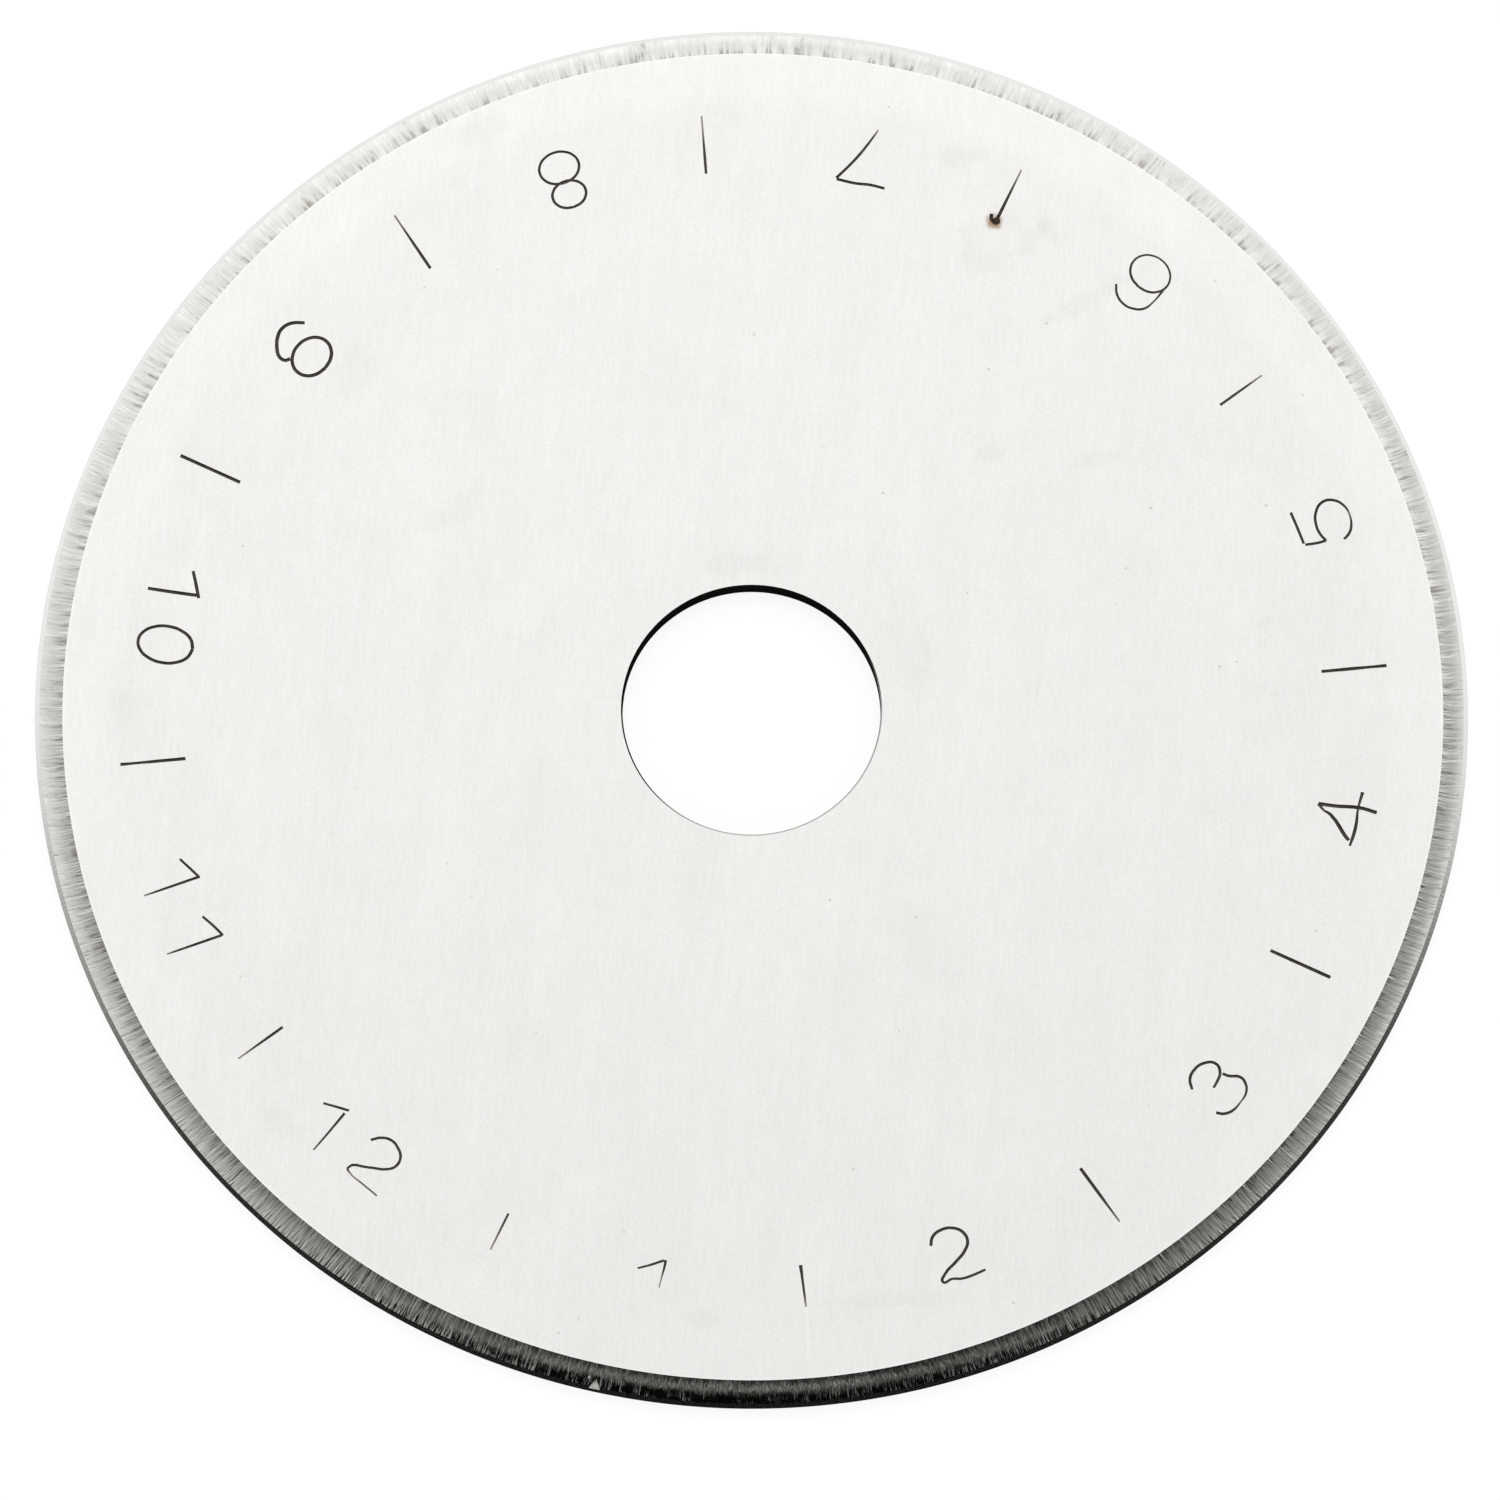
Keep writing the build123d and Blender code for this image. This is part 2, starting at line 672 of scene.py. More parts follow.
@dataclass(frozen=True)
class HollowGrind(Steel):
    """The hollow-ground bevel: dense wheel streaks, with darker teeth at the inner edge, partly painted
    shade.

    Attributes:
        face_radius: The radius of its inner edge.
        runout: How far that edge runs out along X.
        meeting: How far in front of the blade's middle the streaks meet.
        fine: The fine streaks.
        broad: The broad streaks under them.
        depth: The height of the streaks.
        contrast: How far they change the steel's shade.
        inner_width: How far the streaks are stronger from the inner edge on.
        inner_strength: How much stronger they are there.
        clump_size: The size of the places where the streaks are strong or weak.
        clump_strength: How much these differ, and the mean.
        reach: How far the inner edge helps the teeth and their painted shade.
        bite: The heights of the streaks between which the teeth set in.
        cover: How dark the teeth are, with their painted shade.
        dark: The colour of the teeth, partly grinding marks and partly painted shade.
    """

    tone: tuple = (0.885, 0.88, 0.842, 1.0)
    roughness: float = 0.10
    face_radius: float = 21.67 * MM
    runout: float = 0.04 * MM
    meeting: float = 2.25 * MM
    fine: WheelPass = WheelPass(0.085 * MM, 0.9 * MM, 1.0, 0.8)
    broad: WheelPass = WheelPass(0.204 * MM, 1.0 * MM, -2.0, 0.9)
    depth: float = 0.0058 * MM
    contrast: float = 0.18
    inner_width: float = 0.45 * MM
    inner_strength: float = 0.5
    clump_size: float = 0.28 * MM
    clump_strength: tuple = (0.5, 0.65)
    reach: float = 0.7
    bite: tuple = (0.45, 1.5)
    cover: float = 0.6
    dark: tuple = (0.36, 0.33, 0.28, 1.0)

    def material(self) -> bpy.types.Material:
        """Make the material of the bevel.

        Returns:
            The material.
        """
        material, bench, shader, where = self.start("hollow_grind")
        met = bench.place(where, (0.0, self.meeting, 0.0))
        streaks: object = 0.0
        for run in (self.fine, self.broad):
            streaks = bench.maths(
                "MULTIPLY_ADD", run.streaks(bench, met, self.face_radius), run.height, streaks)
        radius = bench.radius(bench.place(where, (-self.runout, 0.0, 0.0)))
        inner = bench.span(
            radius, self.face_radius + self.inner_width, self.face_radius, 0.0, 1.0, "LINEAR")
        clumps = bench.noise(where, 1 / self.clump_size, detail=1.0)
        strength = bench.maths("MULTIPLY_ADD", clumps, *self.clump_strength)
        strength = bench.maths("MULTIPLY_ADD", inner, self.inner_strength, strength)
        streaks = bench.maths("MULTIPLY", streaks, strength)
        self.relief(bench, shader, streaks, self.depth)
        # Painted shade: the teeth darken the bevel most at its inner edge, partly grinding marks and partly
        # shade.
        teeth = bench.maths("MULTIPLY_ADD", inner, self.reach, streaks)
        teeth = bench.span(teeth, *self.bite, 0.0, self.cover)
        shade = bench.maths("MULTIPLY_ADD", streaks, -self.contrast, 1.0)
        tone = bench.blend(1.0, self.tone, shade, "MULTIPLY")
        bench.feed(shader.inputs["Base Color"], bench.blend(teeth, tone, self.dark))
        return material


@dataclass(frozen=True)
class HonedEdge(Steel):
    """The honed tip and its crest, with painted shade lines along both.

    Attributes:
        hone_radius: The radius of its shoulder.
        cutting_radius: The radius of its crest.
        honing: The honing streaks.
        depth: The height of these streaks.
        shoulder: How far from the shoulder its painted shade line ends, and where it is full.
        crest: How far from the crest its painted shade line starts, and where it is full.
        shoulder_shade: How dark the shoulder's painted shade line is.
        crest_shade: How dark the crest's painted shade line is.
        dull: The colour of both painted shade lines.
    """

    tone: tuple = (0.95, 0.95, 0.94, 1.0)
    roughness: float = 0.12
    hone_radius: float = 22.36 * MM
    cutting_radius: float = 22.5 * MM
    honing: WheelPass = WheelPass(0.07 * MM, 0.4 * MM)
    depth: float = 0.0008 * MM
    shoulder: tuple = (0.045 * MM, 0.015 * MM)
    crest: tuple = (0.03 * MM, 0.01 * MM)
    shoulder_shade: float = 0.05
    crest_shade: float = 0.12
    dull: tuple = (0.12, 0.12, 0.12, 1.0)

    def material(self) -> bpy.types.Material:
        """Make the material of the honed tip.

        Returns:
            The material.
        """
        material, bench, shader, where = self.start("honed_edge")
        self.relief(bench, shader, self.honing.streaks(bench, where, self.hone_radius), self.depth)
        radius = bench.radius(where)
        shoulder = [self.hone_radius + fade for fade in self.shoulder]
        crest = [self.cutting_radius - fade for fade in self.crest]
        # Painted shade: darker lines along the hone's shoulder and along its crest.
        worn = bench.maths(
            "ADD", bench.span(radius, *shoulder, 0.0, self.shoulder_shade),
            bench.span(radius, *crest, 0.0, self.crest_shade))
        bench.feed(shader.inputs["Base Color"], bench.blend(worn, self.tone, self.dull))
        return material


@dataclass(frozen=True)
class BoreScale(Steel):
    """The wall of the bore, black from hardening, with its mouth rubbed bright on one side.

    Attributes:
        bore_radius: The radius of the wall.
        mid_height: The height of the middle of the wall.
        wall_height: Half the height of the straight wall.
        drawing: The lines that the punch drew down the wall.
        worn: The colour of the scale where these lines stand out.
        unevenness: How far the roughness differs along them.
        bright: The colour of the rubbed chamfer.
        rubbed_side: The direction of the middle of the rubbed side.
        onset: How squarely a place faces that side where the rubbing sets in, and where it is full.
        rim: How far above the straight wall the rubbing is full.
    """

    tone: tuple = (0.003, 0.003, 0.003, 1.0)
    roughness: float = 0.7
    bore_radius: float = 4.05 * MM
    mid_height: float = 0.35 * MM
    wall_height: float = 0.30 * MM
    drawing: WheelPass = WheelPass(0.08 * MM, 2.0 * MM)
    worn: tuple = (0.010, 0.009, 0.008, 1.0)
    unevenness: float = 0.08
    bright: tuple = (0.62, 0.61, 0.59, 1.0)
    rubbed_side: tuple = (0.5, -0.866, 0.0)
    onset: tuple = (0.0, 0.85)
    rim: float = 0.01 * MM

    def material(self) -> bpy.types.Material:
        """Make the material of the bore.

        Returns:
            The material.
        """
        material, bench, shader, where = self.start("bore_scale")
        drawn = self.drawing.streaks(bench, where, self.bore_radius)
        scale = bench.maths("MULTIPLY_ADD", drawn, 0.5, 0.5, clamp=True)
        scale = bench.blend(scale, self.tone, self.worn)
        side = bench.vector("NORMALIZE", bench.flat(where))
        facing = bench.measure("DOT_PRODUCT", side, self.rubbed_side)
        height = bench.parts(where)[2]
        from_middle = bench.maths("ABSOLUTE", bench.maths("SUBTRACT", height, self.mid_height))
        chamfer = bench.span(from_middle, self.wall_height, self.wall_height + self.rim)
        rubbed = bench.maths("MULTIPLY", bench.span(facing, *self.onset), chamfer)
        bench.feed(shader.inputs["Base Color"], bench.blend(rubbed, scale, self.bright))
        bench.feed(shader.inputs["Metallic"], rubbed)
        shader.inputs["Specular IOR Level"].default_value = 0.0
        rough = bench.maths("MULTIPLY_ADD", drawn, self.unevenness, self.roughness)
        bench.feed(shader.inputs["Roughness"], rough)
        return material


@dataclass(frozen=True)
class TornSteel(Steel):
    """The grey, grainy steel where the edge chipped.

    Attributes:
        grain_size: The size of the grain.
        contrast: How far the grain changes the shade.
        depth: The height of the grain.
    """

    tone: tuple = (0.74, 0.73, 0.70, 1.0)
    roughness: float = 0.55
    grain_size: float = 0.05 * MM
    contrast: float = 0.3
    depth: float = 0.004 * MM

    def material(self) -> bpy.types.Material:
        """Make the material of the chips.

        Returns:
            The material.
        """
        material, bench, shader, where = self.start("torn_steel")
        grain = bench.noise(where, 1 / self.grain_size, detail=2.0, roughness=0.6)
        shade = bench.maths("MULTIPLY_ADD", grain, self.contrast, 1.0)
        bench.feed(shader.inputs["Base Color"], bench.blend(1.0, self.tone, shade, "MULTIPLY"))
        self.relief(bench, shader, grain, self.depth)
        return material


@dataclass(frozen=True)
class ScribedMark(Steel):
    """The walls of the scribed grooves, darker with depth: partly dirt in them and partly painted shade.

    Attributes:
        deep: The colour at full depth, partly dirt and partly painted shade.
        full_depth: The depth below the face at which it is reached.
        face_height: The height of the face.
        patch_size: The size of the places where the dirt and painted shade in the grooves are thick or thin.
        dirt: How much the dirt and painted shade differ, and how much of them there is.
        rust_spot: Where the grooves are rusty.
        rust_size: How far the rust reaches.
        fray: How far the rust's rim is frayed, as a share of its reach.
        rust: The colour of the rusty grooves at full depth, with their painted shade.
    """

    tone: tuple = (0.42, 0.38, 0.32, 1.0)
    roughness: float = 0.5
    deep: tuple = (0.050, 0.043, 0.034, 1.0)
    full_depth: float = 0.016 * MM
    face_height: float = 0.7 * MM
    patch_size: float = 0.28 * MM
    dirt: tuple = (0.12, 0.88)
    rust_spot: tuple = (7.72 * MM, 16.13 * MM, 0.7 * MM)
    rust_size: float = 0.35 * MM
    fray: float = 0.3
    rust: tuple = (0.035, 0.018, 0.008, 1.0)

    def material(self) -> bpy.types.Material:
        """Make the material of the grooves.

        Returns:
            The material.
        """
        material, bench, shader, where = self.start("scribed_mark")
        height = bench.parts(where)[2]
        # Painted shade: the grooves' walls darken with depth below the face, together with the dirt in them.
        depth = bench.span(height, self.face_height, self.face_height - self.full_depth)
        uneven = bench.noise(where, 1 / self.patch_size, detail=3.0, roughness=0.6)
        dirt = bench.maths("MULTIPLY_ADD", uneven, *self.dirt, clamp=True)
        depth = bench.maths("MULTIPLY", depth, dirt)
        spot = bench.place(where, self.rust_spot, 0.0, (self.rust_size,) * 3, "TEXTURE")
        wander = bench.maths("MULTIPLY", uneven, self.fray)
        rusty = bench.effect(Effects.patch(), Vector=spot, Wander=wander)
        deep = bench.blend(rusty, self.deep, self.rust)
        bench.feed(shader.inputs["Base Color"], bench.blend(depth, self.tone, deep))
        return material


@dataclass(frozen=True)
class Scriber:
    """A tool with a round tip that leaves a groove along its path.

    Attributes:
        tip_radius: The radius of its tip.
        face_height: The height of the face that it works on.
        finish: The material of the groove that it leaves.
    """

    tip_radius: float
    face_height: float
    finish: bpy.types.Material

    def height(self, press: float) -> float:
        """Return the height of the tip's centre, where a press of 0 just touches the face."""
        return self.face_height + self.tip_radius * (1.0 - press)

    def sweep(self, points: list) -> bpy.types.Object:
        """Sweep the tip along a smooth path.

        Args:
            points: Where the centre of the tip passes.

        Returns:
            The swept body.
        """
        curve = bpy.data.curves.new("tool_path", "CURVE")
        curve.dimensions = "3D"
        curve.twist_mode = "Z_UP"
        curve.resolution_u = 4
        curve.bevel_depth = self.tip_radius
        curve.bevel_resolution = 1
        curve.use_fill_caps = True
        curve.materials.append(self.finish)
        spline = curve.splines.new("BEZIER")
        spline.bezier_points.add(len(points) - 1)
        for knot, point in zip(spline.bezier_points, points):
            knot.co = point
            knot.handle_left_type = knot.handle_right_type = "AUTO"
        path = bpy.data.objects.new("tool_path", curve)
        bpy.context.scene.collection.objects.link(path)
        return path


@dataclass(frozen=True)
class Tick:
    """A tick of the dial.

    Attributes:
        end: The radius of its outer end, in millimetres.
        sides: How far its inner and outer ends stray to the side, in millimetres.
        presses: How hard the tool was pressed at even stations from the inner end.
    """

    end: float
    sides: tuple
    presses: tuple


@dataclass(frozen=True)
class Numeral:
    """A number of the dial.

    Attributes:
        bearing: Its place round the disc, in degrees from +X.
        strokes: The strokes that write it. Each has points given as (across, up, press), in millimetres
            on the number's own axes, with a press of 1 for the full depth.
        weight: How broad its strokes came out, against the tool's own width.
    """

    bearing: float
    strokes: tuple
    weight: float = 1.0


def loop_stroke(across: float, up: float, half_width: float, half_height: float, press: float,
                thin: float) -> tuple:
    """Lay out a closed round stroke, such as the loops of an 8.

    Args:
        across: The middle of the loop, across.
        up: The middle of the loop, up.
        half_width: Half its width.
        half_height: Half its height.
        press: The press at the top.
        thin: The press at the bottom.

    Returns:
        The points of the stroke, from the top round to the top again.
    """
    count = 12
    points = []
    for step in range(count + 1):
        turn = 2.0 * pi * step / count
        lowered = 0.5 - 0.5 * cos(turn)
        points.append((
            across + half_width * sin(turn), up + half_height * cos(turn), press + lowered * (thin - press)))
    return tuple(points)


@dataclass
class Dial:
    """The numbers and ticks that were scribed by hand on the upper face.

    Attributes:
        scriber: The tool for the numbers.
        tick_scriber: The broader tool for the ticks.
        number_radius: The radius of the numbers' own axes.
        number_centre: Where the circle of numbers is centred.
        tick_centre: Where the ring of ticks is centred, which is not quite the blade's own centre.
        tick_start: The radius of the ticks' inner ends.
        first_tick: The bearing of the tick after the number 4.
        tick_pitch: The angle from one tick to the next.
        ticks: The ticks, anticlockwise from the first.
        numerals: The numbers.
    """

    scriber: Scriber
    tick_scriber: Scriber
    number_radius: float = 19.0 * MM
    number_centre: tuple = (-0.033 * MM, -0.027 * MM)
    tick_centre: tuple = (0.072 * MM, -0.153 * MM)
    tick_start: float = 17.88 * MM
    first_tick: float = 4.73
    tick_pitch: float = 30.0
    ticks: tuple = (
        Tick(19.94, (-0.053, -0.024), (0.8, 0.9, 1.0, 0.7, 1.0)),
        Tick(19.91, (-0.019, 0.046), (0.6, 0.6, 0.42, 0.17, 0.07)),
        Tick(19.98, (0.006, 0.003), (1.0, 0.85, 0.55, 0.25, 0.10)),
        Tick(19.96, (0.036, 0.021), (0.5, 0.65, 0.35, 0.18, 0.12)),
        Tick(19.98, (0.040, -0.018), (0.8, 0.75, 0.6, 0.3, 0.2)),
        Tick(19.96, (0.028, 0.035), (1.0, 1.0, 0.95, 1.0, 1.0)),
        Tick(19.93, (-0.032, -0.006), (1.0, 0.9, 0.85, 0.6, 0.95)),
        Tick(19.86, (-0.032, 0.032), (0.65, 0.65, 0.4, 0.2, 0.07)),
        Tick(19.45, (-0.007, -0.017), (0.42, 0.38, 0.28, 0.17, 0.04)),
        Tick(19.35, (-0.022, 0.041), (1.0, 0.6, 0.45, 0.3, 0.05)),
        Tick(19.98, (-0.016, 0.003), (0.9, 0.9, 0.8, 0.4, 0.22)),
        Tick(19.94, (-0.035, -0.027), (0.9, 1.0, 1.0, 1.0, 1.0)),
    )
    numerals: tuple = (
        Numeral(260.7, (
            ((-0.55, 0.62, 0.5), (-0.15, 0.8, 0.7), (0.22, 1.0, 0.9)),
            ((0.27, 1.02, 1.0), (0.27, 0.85, 0.8), (0.24, 0.5, 0.3), (0.2, 0.0, 0.1))), 0.9),
        Numeral(290.3, (
            ((-0.75, 0.8, 0.8), (-0.6, 1.05, 0.9), (-0.3, 1.17, 0.9), (0.1, 1.1, 0.9), (0.35, 0.85, 0.9),
             (0.38, 0.55, 0.9), (0.2, 0.3, 0.9), (-0.2, 0.05, 0.9), (-0.65, -0.2, 0.8), (-0.8, -0.42, 0.8),
             (-0.5, -0.42, 0.6), (-0.2, -0.52, 0.7), (0.2, -0.53, 0.7), (0.58, -0.5, 0.6)),), 1.05),
        Numeral(320.2, (
            ((-0.62, 0.55, 0.8), (-0.4, 0.82, 0.9), (-0.1, 0.9, 0.9), (0.25, 0.82, 0.9), (0.5, 0.5, 0.9),
             (0.35, 0.22, 0.9), (0.1, 0.12, 0.8), (-0.15, 0.07, 0.6)),
            ((0.38, 0.15, 0.8), (0.45, -0.05, 0.9), (0.65, -0.35, 0.9), (0.6, -0.6, 0.8), (0.4, -0.8, 0.6),
             (0.0, -0.87, 0.3), (-0.35, -0.85, 0.8), (-0.6, -0.7, 0.9), (-0.72, -0.5, 0.9)))),
        Numeral(349.5, (
            ((0.28, 0.95, 0.9), (0.1, 0.75, 0.3), (0.0, 0.52, 0.7), (-0.65, -0.1, 0.9), (-0.72, -0.2, 0.8)),
            ((-0.9, -0.25, 0.3), (-0.6, -0.3, 0.7), (-0.2, -0.33, 0.7), (0.35, -0.3, 0.3), (0.9, -0.35, 0.8)),
            ((0.28, 0.95, 0.9), (0.3, 0.4, 0.9), (0.38, -0.35, 0.9), (0.32, -0.9, 0.9))), 1.25),
        Numeral(18.9, (
            ((0.65, 0.8, 0.8), (0.1, 0.77, 0.8), (-0.45, 0.75, 0.8)),
            ((-0.5, 0.72, 0.8), (-0.57, 0.3, 0.8), (-0.58, 0.05, 0.8)),
            ((-0.58, 0.05, 0.7), (-0.35, 0.15, 0.8), (0.0, 0.18, 0.8), (0.4, 0.05, 0.8), (0.65, -0.25, 0.9),
             (0.6, -0.6, 0.8), (0.3, -0.87, 0.6), (0.0, -0.93, 0.3), (-0.4, -0.85, 0.7), (-0.6, -0.7, 0.8),
             (-0.72, -0.5, 0.8)))),
        Numeral(48.2, (
            loop_stroke(0.17, -0.145, 0.67, 0.575, 0.9, 0.5),
            ((-0.5, 0.0, 0.8), (-0.52, 0.5, 0.4), (-0.45, 0.85, 0.8), (-0.2, 1.08, 0.8), (0.15, 1.17, 0.8),
             (0.5, 1.07, 0.8), (0.75, 0.83, 0.7))), 0.88),
        Numeral(78.9, (
            ((-0.85, 1.3, 0.8), (-0.4, 1.27, 0.9), (0.1, 1.31, 0.9), (0.7, 1.28, 0.9)),
            ((0.72, 1.25, 0.9), (0.45, 0.86, 0.8), (0.16, 0.38, 0.8), (-0.08, -0.1, 0.6),
             (-0.3, -0.6, 0.1)))),
        Numeral(108.5, (
            loop_stroke(0.04, 1.05, 0.54, 0.45, 0.8, 0.8),
            loop_stroke(0.07, 0.12, 0.64, 0.53, 0.8, 0.7))),
        Numeral(139.5, (
            loop_stroke(0.15, 0.92, 0.68, 0.57, 0.8, 0.7),
            ((0.65, 0.45, 0.8), (0.8, 0.35, 0.8), (0.82, 0.15, 0.8), (0.65, -0.1, 0.8), (0.3, -0.35, 0.8),
             (0.05, -0.4, 0.8), (-0.25, -0.3, 0.8), (-0.55, 0.02, 0.7))), 1.3),
        Numeral(170.3, (
            ((-1.55, 0.95, 0.7), (-1.1, 1.13, 0.8), (-0.7, 1.28, 0.8)),
            ((-0.78, 1.2, 0.9), (-0.76, 0.4, 0.9), (-0.75, -0.35, 0.8)),
            loop_stroke(0.97, 0.52, 0.6, 0.87, 0.8, 0.7)), 1.2),
        Numeral(199.8, (
            ((-1.5, 0.55, 0.7), (-1.1, 0.75, 0.8), (-0.75, 0.92, 0.8)),
            ((-0.75, 0.95, 0.9), (-0.75, 0.2, 0.8), (-0.75, -0.4, 0.6), (-0.75, -0.9, 0.2)),
            ((0.5, 0.6, 0.7), (0.9, 0.82, 0.8), (1.3, 1.0, 0.8)),
            ((1.28, 0.95, 0.9), (1.28, 0.2, 0.8), (1.28, -0.4, 0.6), (1.28, -0.85, 0.2))), 0.95),
        Numeral(229.7, (
            ((-1.92, 0.66, 0.5), (-1.5, 0.85, 0.7), (-1.15, 1.0, 0.7)),
            ((-1.2, 0.85, 0.8), (-1.18, 0.1, 0.5), (-1.17, -0.68, 0.3)),
            ((-0.02, 0.72, 0.7), (0.2, 1.0, 0.8), (0.5, 1.13, 0.8), (0.8, 1.07, 0.8), (1.05, 0.9, 0.8),
             (1.13, 0.6, 0.8), (1.0, 0.35, 0.8), (0.5, 0.0, 0.7), (0.02, -0.42, 0.6), (0.15, -0.5, 0.3),
             (0.7, -0.52, 0.3), (1.3, -0.52, 0.3)))),
    )

    def scribe_ticks(self) -> list:
        """Sweep the tool along every tick.

        Returns:
            One swept body for each tick.
        """
        bodies = []
        centre = Vector(self.tick_centre)
        for number, tick in enumerate(self.ticks):
            bearing = radians(self.first_tick + number * self.tick_pitch)
            outward = Vector((cos(bearing), sin(bearing)))
            across = Vector((-sin(bearing), cos(bearing)))
            points = []
            for station, press in enumerate(tick.presses):
                share = station / (len(tick.presses) - 1)
                reach = self.tick_start + share * (tick.end * MM - self.tick_start)
                side = tick.sides[0] + share * (tick.sides[1] - tick.sides[0])
                spot = centre + outward * reach + across * side * MM
                points.append((spot.x, spot.y, self.tick_scriber.height(press)))
            bodies.append(self.tick_scriber.sweep(points))
        return bodies

    def scribe_numbers(self) -> list:
        """Sweep the tool along every stroke of the numbers, whose feet point to the rim.

        Returns:
            One swept body for each stroke.
        """
        bodies = []
        centre = Vector(self.number_centre)
        for numeral in self.numerals:
            bearing = radians(numeral.bearing)
            outward = Vector((cos(bearing), sin(bearing)))
            across = Vector((-sin(bearing), cos(bearing)))
            tool = replace(self.scriber, tip_radius=self.scriber.tip_radius * numeral.weight)
            for stroke in numeral.strokes:
                points = []
                for side, up, press in stroke:
                    spot = centre + outward * (self.number_radius - up * MM) + across * side * MM
                    points.append((spot.x, spot.y, tool.height(press)))
                bodies.append(tool.sweep(points))
        return bodies


@dataclass(frozen=True)
class Chip:
    """A chip in the edge, a small three-sided hollow that points to the bore.

    Attributes:
        radius: The radius of its middle, in millimetres.
        bearing: Its place round the disc, in degrees from +X.
        size: The distance from its middle to its corners, in millimetres.
        length: How far it is drawn out towards the bore.
        floor: The height of its floor, in millimetres.
    """

    radius: float
    bearing: float
    size: float
    length: float
    floor: float


@dataclass
class Wear:
    """The damage that use left: hairline scratches, a rust pit and a nick in the edge.

    Attributes:
        hair: The sharp grit that scratched the face.
        pit: The rust that ate into the face.
        edge_finish: The material of the chips in the edge.
        scratches: The scratches that stand out, in millimetres.
        scratch_press: How deep they are.
        hairs: The number of short hairlines strewn over the face.
        hair_seed: The seed that strews them.
        bore_margin: How far they stay from the bore.
        rim_margin: How far they stay from the bevel.
        hair_lean: How far they lean from Y, and how much that differs, in degrees.
        hair_half: Half the length of the shortest and of the longest, in millimetres.
        hair_press: How deep the lightest and the deepest are.
        hair_bend: How far their middle may stray, against half their length.
        pit_path: The bent course of the rust pit, in millimetres.
        chips: The chips in the edge.
        chip_height: The height of the prism that cuts a chip, in millimetres.
        gouge_bearing: Where a gouge runs down the bevel beside the larger chip.
        gouge_press: How deep it is.
    """

    hair: Scriber
    pit: Scriber
    edge_finish: bpy.types.Material
    scratches: tuple = (
        ((-15.31, -9.06), (-15.08, -8.70), (-14.88, -8.38)),
        ((-10.49, -5.82), (-10.0, -5.76), (-9.58, -5.66)),
        ((-8.66, -15.45), (-7.70, -15.24), (-6.86, -15.10)),
        ((2.00, -9.41), (2.25, -10.1), (2.62, -10.7)),
        ((3.73, -3.89), (4.30, -5.60), (4.66, -6.82)),
        ((4.80, -7.50), (5.59, -8.60), (6.53, -9.08)),
        ((21.40, 1.35), (21.50, 1.31), (21.58, 1.24)),
        ((-9.03, -10.80), (-8.93, -10.88), (-8.94, -11.12)),
        ((7.90, -8.10), (9.80, -7.50), (11.6, -6.50)),
        ((9.07, 17.85), (9.20, 18.0), (9.36, 18.17)),
        ((0.70, 8.50), (0.95, 8.10), (1.20, 7.70)),
    )
    scratch_press: float = 0.05
    hairs: int = 40
    hair_seed: int = 45
    bore_margin: float = 1.0 * MM
    rim_margin: float = 1.2 * MM
    hair_lean: tuple = (6.0, 16.0)
    hair_half: tuple = (0.1, 0.35)
    hair_press: tuple = (0.02, 0.045)
    hair_bend: float = 0.15
    pit_path: tuple = (
        (7.60, 16.34), (7.58, 16.21), (7.63, 16.09), (7.74, 16.03),
        (7.81, 16.08), (7.76, 16.16), (7.66, 16.12),
    )
    chips: tuple = (
        Chip(22.31, -102.6, 0.21, 1.0, 0.405),
        Chip(22.09, -103.2, 0.055, 1.6, 0.495),
    )
    chip_height: float = 0.5
    gouge_bearing: float = -103.5
    gouge_press: float = 0.6

    def scratch(self, face_radius: float, bore_radius: float) -> list:
        """Sweep the grit along the scratches and along short hairlines that follow the grinding lines.

        Args:
            face_radius: The radius that the hairlines stay inside.
            bore_radius: The radius that they stay outside.

        Returns:
            One swept body for each of them.
        """
        height = self.hair.height(self.scratch_press)
        bodies = [self.hair.sweep([(x * MM, y * MM, height) for x, y in points]) for points in self.scratches]
        outermost = face_radius - self.rim_margin - self.bore_margin
        dice = Random(self.hair_seed)
        for _ in range(self.hairs):
            # The square of the radius is drawn, so that they are strewn evenly
            reach = sqrt(dice.uniform(bore_radius ** 2, outermost ** 2)) + self.bore_margin
            bearing = dice.uniform(0.0, 2.0 * pi)
            lean = radians(90.0 - dice.gauss(*self.hair_lean))
            half = dice.uniform(*self.hair_half) * MM
            height = self.hair.height(dice.uniform(*self.hair_press))
            middle = Vector((reach * cos(bearing), reach * sin(bearing), height))
            along = Vector((half * cos(lean), half * sin(lean), 0.0))
            bend = Vector((-along.y, along.x, 0.0)) * dice.uniform(-self.hair_bend, self.hair_bend)
            bodies.append(self.hair.sweep([middle - along, middle + bend, middle + along]))
        return bodies

    def rust(self) -> bpy.types.Object:
        """Sweep the rust pit round its bent course, and return the swept body."""
        height = self.pit.height(1.0)
        return self.pit.sweep([(x * MM, y * MM, height) for x, y in self.pit_path])

    def gouge(self, rings: list) -> bpy.types.Object:
        """Sweep the grit down the bevel beside the larger chip.

        Args:
            rings: The radius, height and runout of points down the bevel.

        Returns:
            The swept body.
        """
        bearing = radians(self.gouge_bearing)
        lift = (1.0 - self.gouge_press) * self.hair.tip_radius
        points = []
        for radius, height, aside in rings:
            points.append((radius * cos(bearing) + aside, radius * sin(bearing), height + lift))
        return self.hair.sweep(points)

